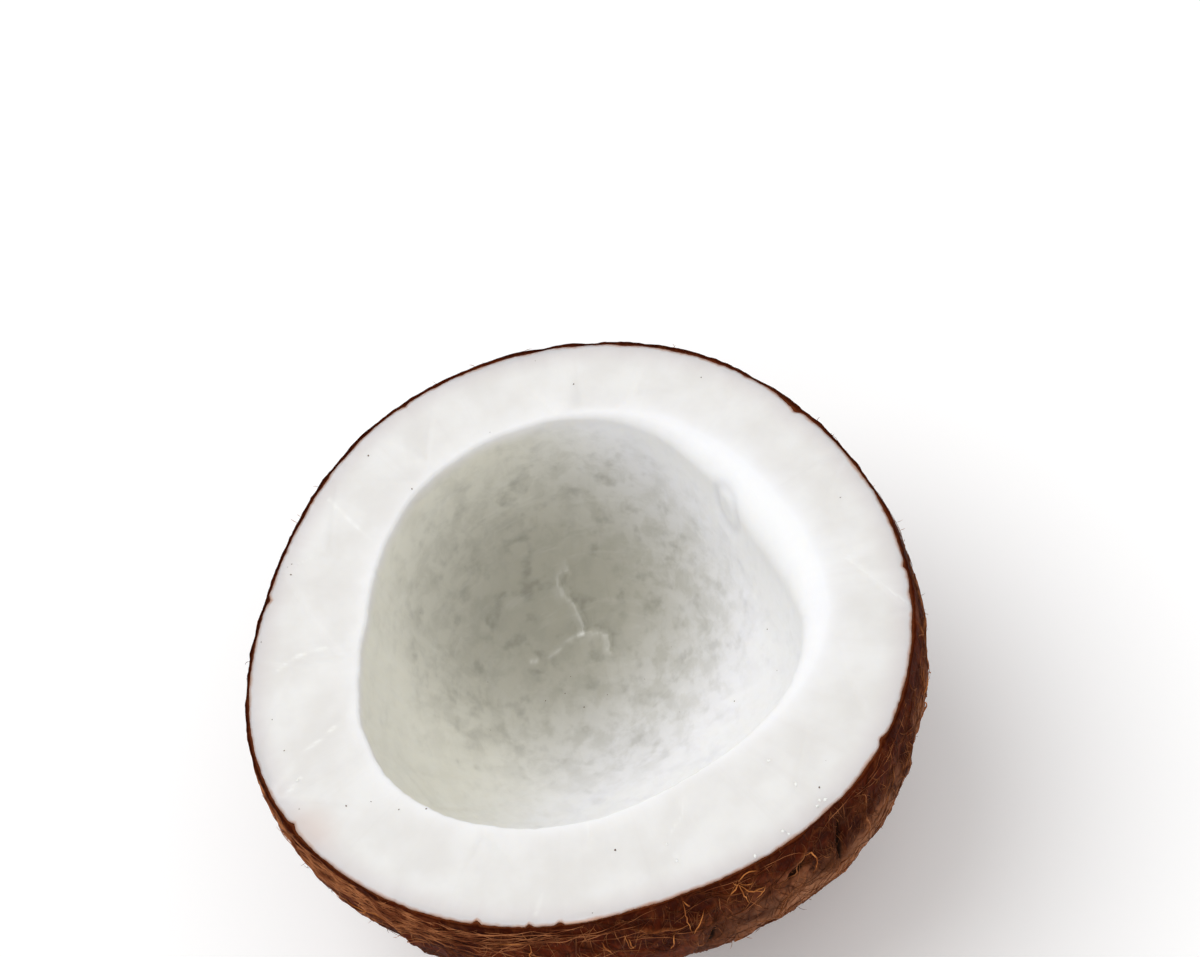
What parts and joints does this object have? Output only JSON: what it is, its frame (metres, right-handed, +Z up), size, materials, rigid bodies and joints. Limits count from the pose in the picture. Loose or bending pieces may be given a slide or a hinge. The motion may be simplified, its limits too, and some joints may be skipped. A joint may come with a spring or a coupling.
{
  "type": "coconut half",
  "caption": "Round coconut half cut level across the middle, with thick white flesh round a deep hollow and a thin, wrinkled, fibrous brown skin.",
  "frame": {"origin": "middle of the small flat spot that the half rests on", "axes": "+Z up, square to the level cut face; the picture was taken from the -Y side, and +X is to its right"},
  "size_m": [0.1038, 0.1019, 0.0531],
  "materials": {
    "brown_skin": "wrinkled dark brown skin with lighter tan fibres and long dark cracks, slightly glossy",
    "white_flesh": "moist white flesh, smooth on the cut face and mottled grey in the hollow"
  },
  "bodies": {
    "root": {"brown_skin": "brown_skin", "white_flesh": "white_flesh"}
  },
  "joints": []
}
